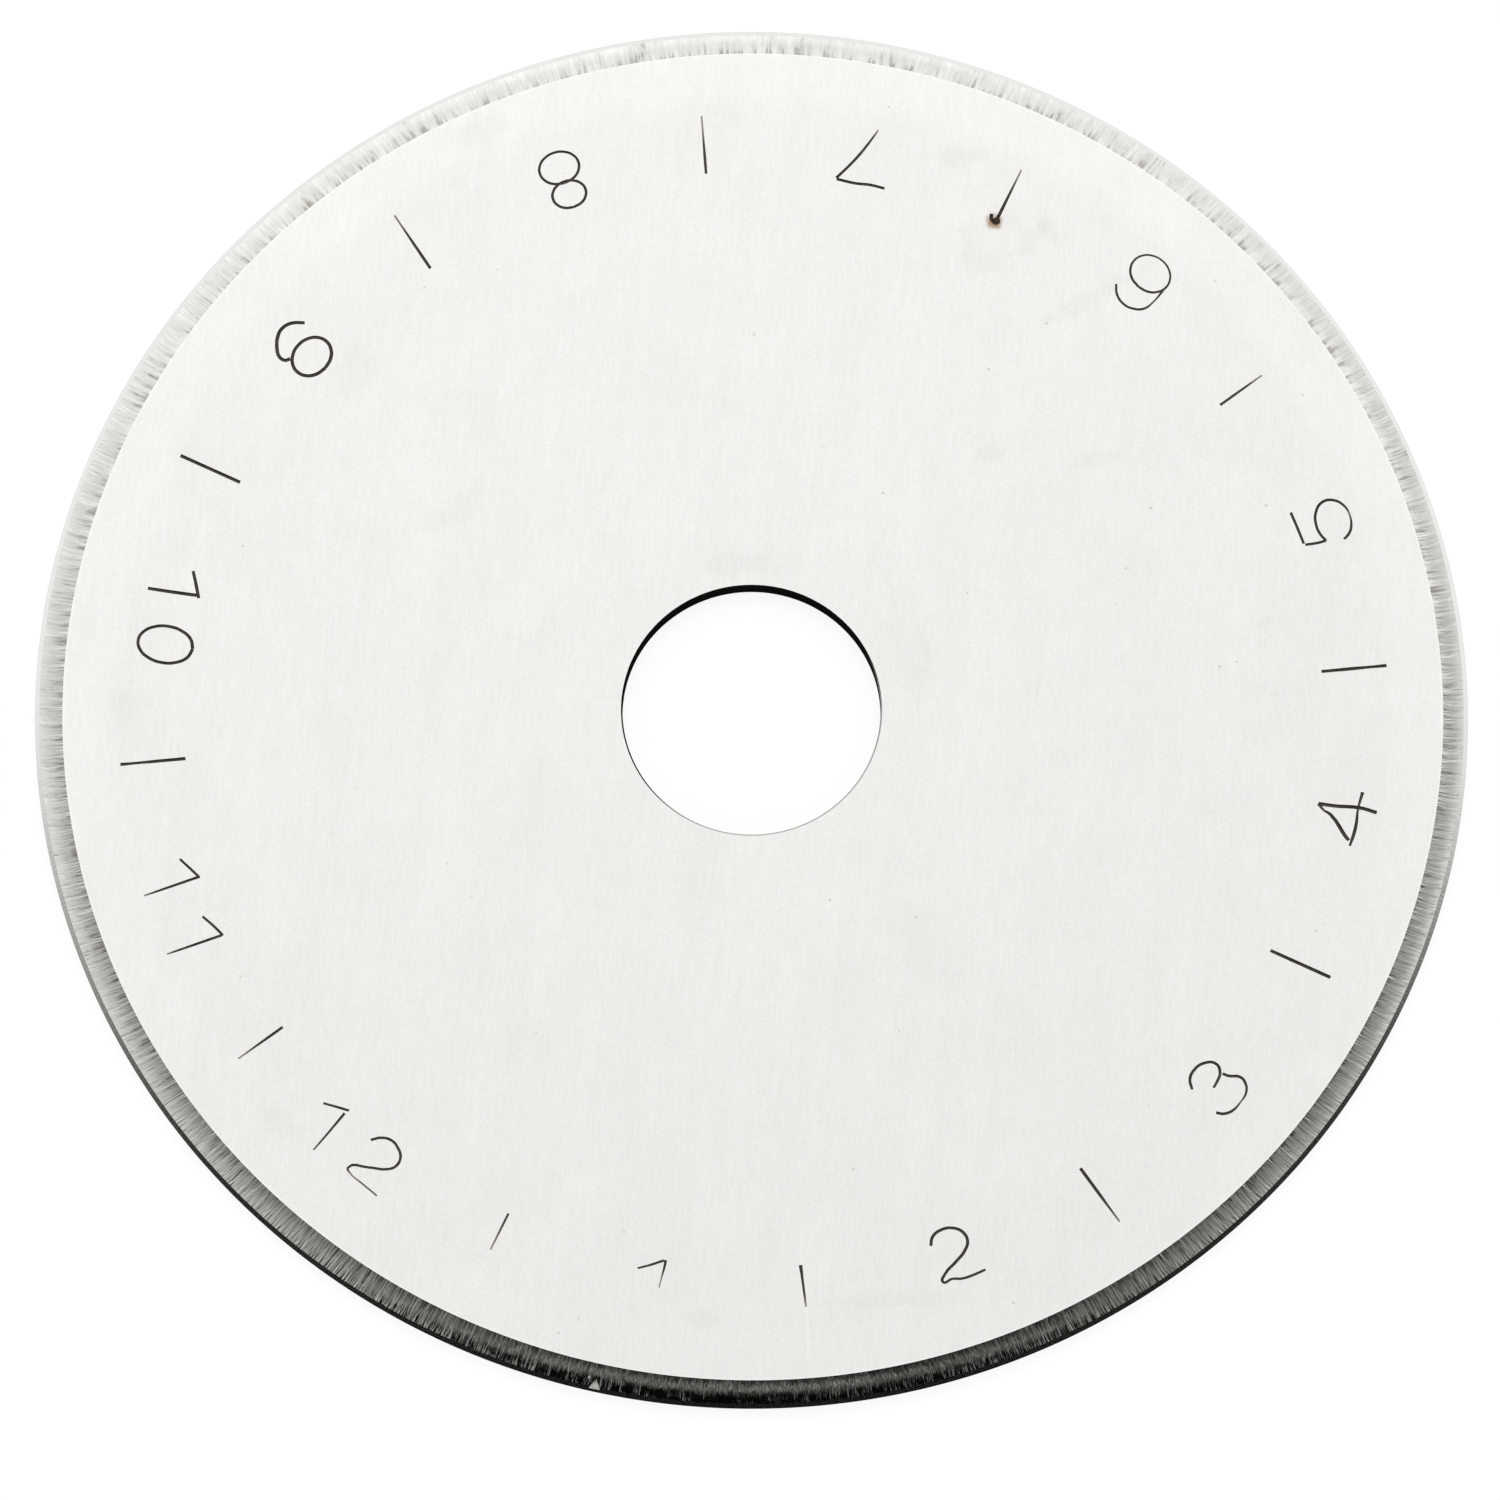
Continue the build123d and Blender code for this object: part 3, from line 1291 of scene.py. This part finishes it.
    def chip(self) -> list:
        """Place the chips as small three-sided prisms that point to the bore.

        Returns:
            One prism for each chip.
        """
        prisms = []
        for chip in self.chips:
            turn = radians(chip.bearing)
            reach = chip.radius * MM
            middle = (chip.floor + self.chip_height / 2.0) * MM
            bpy.ops.object.select_all(action="DESELECT")
            bpy.ops.mesh.primitive_cylinder_add(
                vertices=3, radius=chip.size * MM, depth=self.chip_height * MM, scale=(1.0, chip.length, 1.0),
                location=(reach * cos(turn), reach * sin(turn), middle), rotation=(0.0, 0.0, turn + pi / 2.0))
            prism = bpy.context.view_layer.objects.active
            prism.name = "edge_chip"
            prism.data.materials.append(self.edge_finish)
            prisms.append(prism)
        return prisms


@dataclass
class CutterBlade:
    """The blade itself, one solid of revolution about the bore.

    Attributes:
        cutting_radius: The radius of the crest of the edge.
        thickness: The distance between the faces.
        bore_radius: The radius of the bore.
        bevel_width: The width of the hollow-ground bevel, in plan.
        hollow_depth: How far the bevel is hollowed below its chord.
        hone_width: The width of the honed tip, in plan.
        hone_angle: The slope of the honed tip from the face, in degrees.
        crest_width: The width of the crest.
        bore_chamfer: The chamfer at each end of the bore.
        runout: How far the arris runs out along X, because the disc sat a little off centre on the grinder.
        sides: The number of facets round the disc.
        hollow_steps: The number of facets across the hollow.
        crease: The angle from which an edge is drawn sharp, in degrees.
    """

    cutting_radius: float
    thickness: float
    bore_radius: float = 4.05 * MM
    bevel_width: float = 0.69 * MM
    hollow_depth: float = 0.02 * MM
    hone_width: float = 0.14 * MM
    hone_angle: float = 30.0
    crest_width: float = 0.03 * MM
    bore_chamfer: float = 0.05 * MM
    runout: float = 0.04 * MM
    sides: int = 720
    hollow_steps: int = 8
    crease: float = 8.0

    @property
    def hone_radius(self) -> float:
        """Return the radius of the hone's shoulder."""
        return self.cutting_radius - self.hone_width

    @property
    def face_radius(self) -> float:
        """Return the radius of the arris between the face and the bevel."""
        return self.hone_radius - self.bevel_width

    def bevel_rings(self) -> list:
        """Work out the hollow of the upper bevel.

        Returns:
            The radius, height and runout of its rings, from the arris to the hone's shoulder.
        """
        crest_height = (self.thickness + self.crest_width) / 2.0
        hone_height = crest_height + self.hone_width * tan(radians(self.hone_angle))
        start = Vector((self.face_radius, self.thickness))
        chord = Vector((self.hone_radius, hone_height)) - start
        inward = Vector((chord.y, -chord.x)).normalized()
        rings = []
        for step in range(self.hollow_steps + 1):
            share = step / self.hollow_steps
            # So shallow an arc is as good as a parabola, which is full depth half way along
            sag = 4.0 * share * (1.0 - share) * self.hollow_depth
            spot = start + chord * share + inward * sag
            rings.append((spot.x, spot.y, self.runout * (1.0 - share)))
        return rings

    def section(self) -> list:
        """Work out the upper half of the blade's section.

        Returns:
            The radius, height and runout of its rings, from the bore's mid-height to the crest's.
        """
        middle = self.thickness / 2.0
        return [
            (self.bore_radius, middle, 0.0),
            (self.bore_radius, self.thickness - self.bore_chamfer, 0.0),
            (self.bore_radius + self.bore_chamfer, self.thickness, 0.0),
            *self.bevel_rings(),
            (self.cutting_radius, middle + self.crest_width / 2.0, 0.0),
            (self.cutting_radius, middle, 0.0),
        ]

    def turn(self) -> bpy.types.Object:
        """Turn the plain disc: a ring is extruded outwards from the bore, and the half is mirrored.

        Returns:
            The plain disc.
        """
        bpy.ops.object.select_all(action="DESELECT")
        rings = self.section()
        radius, height, aside = rings[0]
        bpy.ops.mesh.primitive_circle_add(vertices=self.sides, radius=radius, location=(0.0, 0.0, height))
        disc = bpy.context.view_layer.objects.active
        disc.name = disc.data.name = "ground_disc"
        bpy.ops.object.transform_apply(location=True, rotation=False, scale=False)
        bpy.ops.object.mode_set(mode="EDIT")
        bpy.ops.mesh.select_all(action="SELECT")
        for next_radius, next_height, next_aside in rings[1:]:
            step = (next_aside - aside, 0.0, next_height - height)
            growth = next_radius / radius
            bpy.ops.mesh.extrude_edges_move(TRANSFORM_OT_translate={"value": step})
            bpy.ops.transform.resize(
                value=(growth, growth, 1.0), center_override=(next_aside, 0.0, next_height))
            radius, height, aside = next_radius, next_height, next_aside
        bpy.ops.mesh.select_all(action="SELECT")
        bpy.ops.mesh.duplicate()
        bpy.ops.transform.resize(value=(1.0, 1.0, -1.0), center_override=(0.0, 0.0, self.thickness / 2.0))
        bpy.ops.mesh.select_all(action="SELECT")
        bpy.ops.mesh.remove_doubles(threshold=1e-7)
        bpy.ops.mesh.normals_make_consistent(inside=False)
        bpy.ops.object.mode_set(mode="OBJECT")
        return disc

    def zone_of(self, facet: bpy.types.MeshPolygon) -> Zone:
        """Tell which zone a facet of the plain disc lies in.

        Args:
            facet: The facet.

        Returns:
            Its zone.
        """
        x, y = facet.center.xy
        if hypot(x, y) < self.bore_radius + self.bore_chamfer:
            return Zone.BORE
        if hypot(x - self.runout, y) < self.face_radius:
            return Zone.FACE
        if hypot(x, y) < self.hone_radius:
            return Zone.BEVEL
        return Zone.HONE

    @staticmethod
    def gather(bodies: list) -> bpy.types.Object:
        """Join the bodies that are cut away into one mesh.

        Args:
            bodies: The swept tool paths and the prisms.

        Returns:
            The joined cutter.
        """
        bpy.ops.object.select_all(action="DESELECT")
        for body in bodies:
            body.select_set(True)
        bpy.context.view_layer.objects.active = bodies[0]
        bpy.ops.object.convert(target="MESH")
        bpy.ops.object.join()
        cutter = bpy.context.view_layer.objects.active
        cutter.name = "cutter"
        bpy.ops.object.mode_set(mode="EDIT")
        bpy.ops.mesh.select_all(action="SELECT")
        bpy.ops.mesh.remove_doubles(threshold=1e-8)
        bpy.ops.mesh.normals_make_consistent(inside=False)
        bpy.ops.object.mode_set(mode="OBJECT")
        return cutter

    @staticmethod
    def cut(disc: bpy.types.Object, cutter: bpy.types.Object) -> None:
        """Cut one body out of the disc, which takes over its material on the cut walls.

        Args:
            disc: The plain disc.
            cutter: The body, which is used up.
        """
        bpy.ops.object.select_all(action="DESELECT")
        bpy.context.view_layer.objects.active = disc
        disc.select_set(True)
        cut = disc.modifiers.new("scribing", "BOOLEAN")
        cut.operation = "DIFFERENCE"
        cut.solver = "EXACT"
        cut.material_mode = "TRANSFER"
        cut.use_self = True
        cut.object = cutter
        bpy.ops.object.modifier_apply(modifier=cut.name)
        bpy.data.objects.remove(cutter, do_unlink=True)

    def build(self, dial: Dial, wear: Wear, finishes: dict) -> bpy.types.Object:
        """Turn the disc, dress it, scribe the dial and wear it.

        Args:
            dial: The marks that are cut into its upper face.
            wear: The damage that use left.
            finishes: The material of each zone.

        Returns:
            The finished blade.
        """
        disc = self.turn()
        for zone in Zone:
            disc.data.materials.append(finishes[zone])
        for facet in disc.data.polygons:
            facet.material_index = self.zone_of(facet).value
        bodies = dial.scribe_ticks() + dial.scribe_numbers()
        bodies += wear.scratch(self.face_radius, self.bore_radius)
        bodies += [wear.rust(), wear.gouge(self.bevel_rings()[::self.hollow_steps // 2])]
        bodies += wear.chip()
        log.info("cuts: %d", len(bodies))
        self.cut(disc, self.gather(bodies))
        bpy.ops.object.shade_smooth_by_angle(angle=radians(self.crease))
        return disc


@dataclass(frozen=True)
class Spot:
    """A round patch of light or shade in the room, as the blade sees it.

    Attributes:
        middle: The direction of its middle.
        reach: The distances from the middle between which it changes.
        gain: What it gives at these distances.
        squeeze: How far the room is squeezed along each axis before that, to draw the spot out.
    """

    middle: tuple
    reach: tuple
    gain: tuple
    squeeze: tuple = (1.0, 1.0, 1.0)

    def gains(self, bench: NodeBench, direction: object) -> bpy.types.NodeSocket:
        """Lay the spot out.

        Args:
            bench: The world's bench.
            direction: The direction that is looked in.

        Returns:
            The socket that gives its gain.
        """
        squeezed = bench.vector("MULTIPLY", direction, self.squeeze)
        return bench.span(bench.measure("DISTANCE", squeezed, self.middle), *self.reach, *self.gain)


@dataclass(frozen=True)
class Room:
    """The light that comes from each direction of the room, which the steel mirrors.

    Attributes:
        far_wall: The brightness of the wall behind the blade.
        falloff: How fast the walls darken towards the camera's side.
        pole: Where the walls' bearings meet on the ceiling, along X and Y.
        pole_size: How far the pole is blurred.
        box_width: The distances from the middle line between which the box overhead sets in.
        box_front: The places from the front to the back between which it does.
        box_height: The heights between which it does.
        box_gain: How far it fills the dark up.
        lamp: The direction of the bright part of the ceiling.
        lamp_focus: How fast its light falls off.
        lamp_gain: Its brightness.
        window: A brighter place on the ceiling's right.
        shelf: A darker place on the left, towards the back.
        opening: The dark opening that the camera looks in through.
        kicker: A small bright place just below the opening.
        skirt_tilt: How far the top of the dark skirting rises towards the front.
        skirt_top: The heights between which the skirting sets in.
        skirt_turn: How much further back it reaches on the right than on the left.
        skirt_sides: The places from the back to the front between which it does, too.
        skirt_depth: How dark it is.
        low_tilt: How far the top of the white lower walls rises away from the middle.
        low_top: The heights between which they set in.
        low_light: Their brightness.
        dim: The colour of the light where the room is dark.
        full: The colour of the light where it is bright.
    """

    far_wall: float = 1.184
    falloff: float = 1.16
    pole: tuple = (-0.02, 0.171)
    pole_size: float = 0.05
    box_width: tuple = (0.715, 0.406)
    box_front: tuple = (-0.206, 0.8)
    box_height: tuple = (0.40, 0.75)
    box_gain: float = 0.326
    lamp: tuple = (-0.179, 0.236, 0.955)
    lamp_focus: float = 8.23
    lamp_gain: float = 0.56
    window: Spot = Spot((0.46, 0.17, 0.87), (0.32, 0.0), (0.0, 0.28))
    shelf: Spot = Spot((-0.45, 0.40, 0.80), (0.0, 0.35), (0.87, 1.0))
    opening: Spot = Spot((0.0, -0.24, 0.971), (0.17, 0.27), (0.0, 1.0), (0.66, 1.0, 1.0))
    kicker: Spot = Spot((0.0, -0.515, 0.857), (0.12, 0.0), (0.0, 0.55))
    skirt_tilt: float = 0.243
    skirt_top: tuple = (0.63, 0.57)
    skirt_turn: float = 0.08
    skirt_sides: tuple = (0.1, -0.30)
    skirt_depth: float = 0.97
    low_tilt: float = 0.15
    low_top: tuple = (0.52, 0.40)
    low_light: float = 1.1
    dim: tuple = (0.80, 0.795, 0.735, 1.0)
    full: tuple = (0.80, 0.80, 0.80, 1.0)

    def _walls(self, bench: NodeBench, x: object, y: object, z: object) -> bpy.types.NodeSocket:
        """Light the walls: bright behind the blade, darker towards the camera's side, with a box overhead.

        Args:
            bench: The world's bench.
            x: The direction's part along X.
            y: The direction's part along Y.
            z: The direction's part along Z.

        Returns:
            The light from each direction.
        """
        aside = bench.maths("SUBTRACT", x, self.pole[0])
        behind = bench.maths("SUBTRACT", y, self.pole[1])
        spread = bench.maths("MULTIPLY_ADD", behind, behind, self.pole_size ** 2)
        reach = bench.maths("SQRT", bench.maths("MULTIPLY_ADD", aside, aside, spread))
        bearing = bench.maths("MULTIPLY_ADD", bench.maths("DIVIDE", behind, reach), 0.5, 0.5)
        walls = bench.maths("MULTIPLY", bench.maths("POWER", bearing, self.falloff), self.far_wall)
        width = bench.maths("ABSOLUTE", x)
        front = bench.span(bench.maths("ADD", y, width), *self.box_front)
        box = bench.maths("MULTIPLY", bench.span(width, *self.box_width), front)
        box = bench.maths("MULTIPLY", box, bench.span(z, *self.box_height, 0.0, self.box_gain))
        missing = bench.maths("SUBTRACT", 1.0, walls, clamp=True)
        return bench.maths("MULTIPLY_ADD", missing, box, walls)

    def _ceiling(self, bench: NodeBench, direction: object, sky: object) -> bpy.types.NodeSocket:
        """Add the ceiling's bright and dark places, each over the ones before.

        Args:
            bench: The world's bench.
            direction: The direction that is looked in.
            sky: The light of the walls.

        Returns:
            The light with these places.
        """
        overhead = bench.measure("DOT_PRODUCT", direction, self.lamp)
        glow = bench.maths(
            "EXPONENT", bench.maths("MULTIPLY_ADD", overhead, self.lamp_focus, -self.lamp_focus))
        sky = bench.maths("MULTIPLY_ADD", glow, self.lamp_gain, sky)
        sky = bench.maths("ADD", sky, self.window.gains(bench, direction))
        sky = bench.maths("MULTIPLY", sky, self.shelf.gains(bench, direction))
        sky = bench.maths("MULTIPLY", sky, self.opening.gains(bench, direction))
        return bench.maths("ADD", sky, self.kicker.gains(bench, direction))

    def _lower_walls(self, bench: NodeBench, parts: tuple, sky: object) -> bpy.types.NodeSocket:
        """Darken the skirting on the camera's side, and whiten what lies below it.

        Args:
            bench: The world's bench.
            parts: The direction's parts along X, Y and Z.
            sky: The light of the walls and the ceiling.

        Returns:
            The light of the whole room.
        """
        x, y, z = parts
        skirt = bench.span(bench.maths("MULTIPLY_ADD", y, self.skirt_tilt, z), *self.skirt_top)
        sides = bench.maths("MULTIPLY_ADD", x, -self.skirt_turn, y)
        sides = bench.span(sides, *self.skirt_sides, 0.0, self.skirt_depth)
        kept = bench.maths("SUBTRACT", 1.0, bench.maths("MULTIPLY", skirt, sides))
        sky = bench.maths("MULTIPLY", sky, kept)
        low = bench.maths("MULTIPLY_ADD", bench.maths("ABSOLUTE", y), -self.low_tilt, z)
        low = bench.span(low, *self.low_top)
        return bench.maths("MULTIPLY_ADD", low, bench.maths("SUBTRACT", self.low_light, sky), sky)

    def light(self) -> bpy.types.World:
        """Make the world that lights the room.

        Returns:
            The world, which the scene now has.
        """
        world = bpy.data.worlds.new("studio_room")
        bpy.context.scene.world = world
        world.use_nodes = True
        world.node_tree.nodes.clear()
        bench = NodeBench(world.node_tree)
        surface = bench.add("ShaderNodeOutputWorld")
        glow = bench.add("ShaderNodeBackground")
        bench.feed(surface.inputs["Surface"], glow.outputs[0])
        direction = bench.add("ShaderNodeTexCoord").outputs["Generated"]
        parts = bench.parts(direction)
        sky = self._ceiling(bench, direction, self._walls(bench, *parts))
        sky = self._lower_walls(bench, parts, sky)
        bench.feed(glow.inputs["Strength"], sky)
        bench.feed(glow.inputs["Color"], bench.blend(sky, self.dim, self.full))
        return world


@dataclass
class Studio:
    """The floor, the lamp and the camera.

    Attributes:
        floor_size: The side of the floor.
        floor_paint: The floor's colour under the lamp.
        floor_white: How much of the floor's own white the camera and the steel see.
        lamp_size: The width and length of the soft box.
        lamp_power: Its power, in watts.
        lamp_place: Where it hangs, facing the middle of the floor.
        distance: From the camera to the middle of the frame.
        tilt: The camera's angle from straight above, in degrees.
        swing: The side that it leans to, in degrees from +X.
        aim: The middle of the frame.
        focal_length: The camera's focal length, in millimetres.
        sensor: The width of its sensor, in millimetres.
    """

    floor_size: float = 6.0
    floor_paint: tuple = (0.9, 0.9, 0.9, 1.0)
    floor_white: float = 0.90
    lamp_size: tuple = (1.6, 1.2)
    lamp_power: float = 14.0
    lamp_place: tuple = (0.0, 0.55, 1.1)
    distance: float = 0.572
    tilt: float = 15.978
    swing: float = -90.41
    aim: tuple = (-0.049 * MM, -1.306 * MM, 0.7 * MM)
    focal_length: float = 437.7
    sensor: float = 36.0

    def _paint(self) -> bpy.types.Material:
        """Make the floor's material, white to the camera and to the steel that mirrors it.

        Returns:
            The material.
        """
        material = bpy.data.materials.new("white_floor")
        material.use_nodes = True
        material.node_tree.nodes.clear()
        bench = NodeBench(material.node_tree)
        surface = bench.add("ShaderNodeOutputMaterial")
        paint = bench.add("ShaderNodeBsdfDiffuse")
        paint.inputs["Color"].default_value = self.floor_paint
        white = bench.add("ShaderNodeEmission")
        white.inputs["Color"].default_value = (1.0, 1.0, 1.0, 1.0)
        rays = bench.add("ShaderNodeLightPath")
        seen = bench.maths("MAXIMUM", rays.outputs["Is Camera Ray"], rays.outputs["Is Glossy Ray"])
        seen = bench.maths("MAXIMUM", seen, rays.outputs["Is Transmission Ray"])
        mixed = bench.add("ShaderNodeMixShader")
        bench.feed(mixed.inputs[0], bench.maths("MULTIPLY", seen, self.floor_white))
        bench.feed(mixed.inputs[1], paint.outputs[0])
        bench.feed(mixed.inputs[2], white.outputs[0])
        bench.feed(surface.inputs["Surface"], mixed.outputs[0])
        return material

    def lay_floor(self) -> bpy.types.Object:
        """Lay the white floor.

        Returns:
            The floor.
        """
        bpy.ops.object.select_all(action="DESELECT")
        bpy.ops.mesh.primitive_plane_add(size=self.floor_size)
        floor = bpy.context.view_layer.objects.active
        floor.name = "studio_floor"
        floor.data.materials.append(self._paint())
        return floor

    def hang_lamp(self) -> bpy.types.Object:
        """Hang the soft box over the far side.

        Returns:
            The soft box.
        """
        lamp = bpy.data.lights.new("soft_box", "AREA")
        lamp.shape = "RECTANGLE"
        lamp.size, lamp.size_y = self.lamp_size
        lamp.energy = self.lamp_power
        soft_box = bpy.data.objects.new("soft_box", lamp)
        soft_box.location = self.lamp_place
        soft_box.rotation_euler = Vector(self.lamp_place).to_track_quat("Z", "Y").to_euler()
        soft_box.visible_glossy = False
        bpy.context.scene.collection.objects.link(soft_box)
        return soft_box

    def aim_camera(self) -> bpy.types.Object:
        """Stand the camera where the photograph was taken from, with the blade's Y axis upright in the frame.

        Returns:
            The camera.
        """
        tilt = radians(self.tilt)
        swing = radians(self.swing)
        away = Vector((cos(swing) * sin(tilt), sin(swing) * sin(tilt), cos(tilt)))
        right = Vector((0.0, 1.0, 0.0)).cross(away).normalized()
        lens = bpy.data.cameras.new("studio_camera")
        lens.lens = self.focal_length
        lens.sensor_width = self.sensor
        camera = bpy.data.objects.new("studio_camera", lens)
        camera.location = Vector(self.aim) + away * self.distance
        camera.rotation_euler = Matrix((right, away.cross(right), away)).transposed().to_euler()
        bpy.context.scene.collection.objects.link(camera)
        bpy.context.scene.camera = camera
        return camera


def main() -> None:
    """Build the studio and the blade, and report each piece."""
    logging.basicConfig(level=logging.INFO, format="%(name)s: %(message)s")
    bpy.context.scene.view_settings.view_transform = "Standard"
    low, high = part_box("blade")
    top = high[2]
    studio = Studio()
    log.info("camera: %s", studio.aim_camera().name)
    log.info("room: %s", Room().light().name)
    log.info("lamp: %s", studio.hang_lamp().name)
    log.info("floor: %s", studio.lay_floor().name)
    blade = CutterBlade(cutting_radius=(high[0] - low[0]) / 2.0, thickness=top - low[2])
    marks = ScribedMark(face_height=top).material()
    finishes = {
        Zone.FACE: GroundFace(
            face_radius=blade.face_radius, runout=blade.runout, upper_height=top).material(),
        Zone.BEVEL: HollowGrind(face_radius=blade.face_radius, runout=blade.runout).material(),
        Zone.HONE: HonedEdge(
            hone_radius=blade.hone_radius, cutting_radius=blade.cutting_radius).material(),
        Zone.BORE: BoreScale(
            bore_radius=blade.bore_radius, mid_height=blade.thickness / 2.0).material(),
        Zone.MARK: marks,
    }
    dial = Dial(
        scriber=Scriber(tip_radius=0.050 * MM, face_height=top, finish=marks),
        tick_scriber=Scriber(tip_radius=0.056 * MM, face_height=top, finish=marks))
    wear = Wear(
        hair=Scriber(tip_radius=0.03 * MM, face_height=top, finish=marks),
        pit=Scriber(tip_radius=0.055 * MM, face_height=top, finish=marks),
        edge_finish=TornSteel().material())
    disc = blade.build(dial, wear, finishes)
    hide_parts("blade")
    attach(disc, "root")
    log.info("blade: %s, %d faces", disc.name, len(disc.data.polygons))


if __name__ == "__main__":
    main()
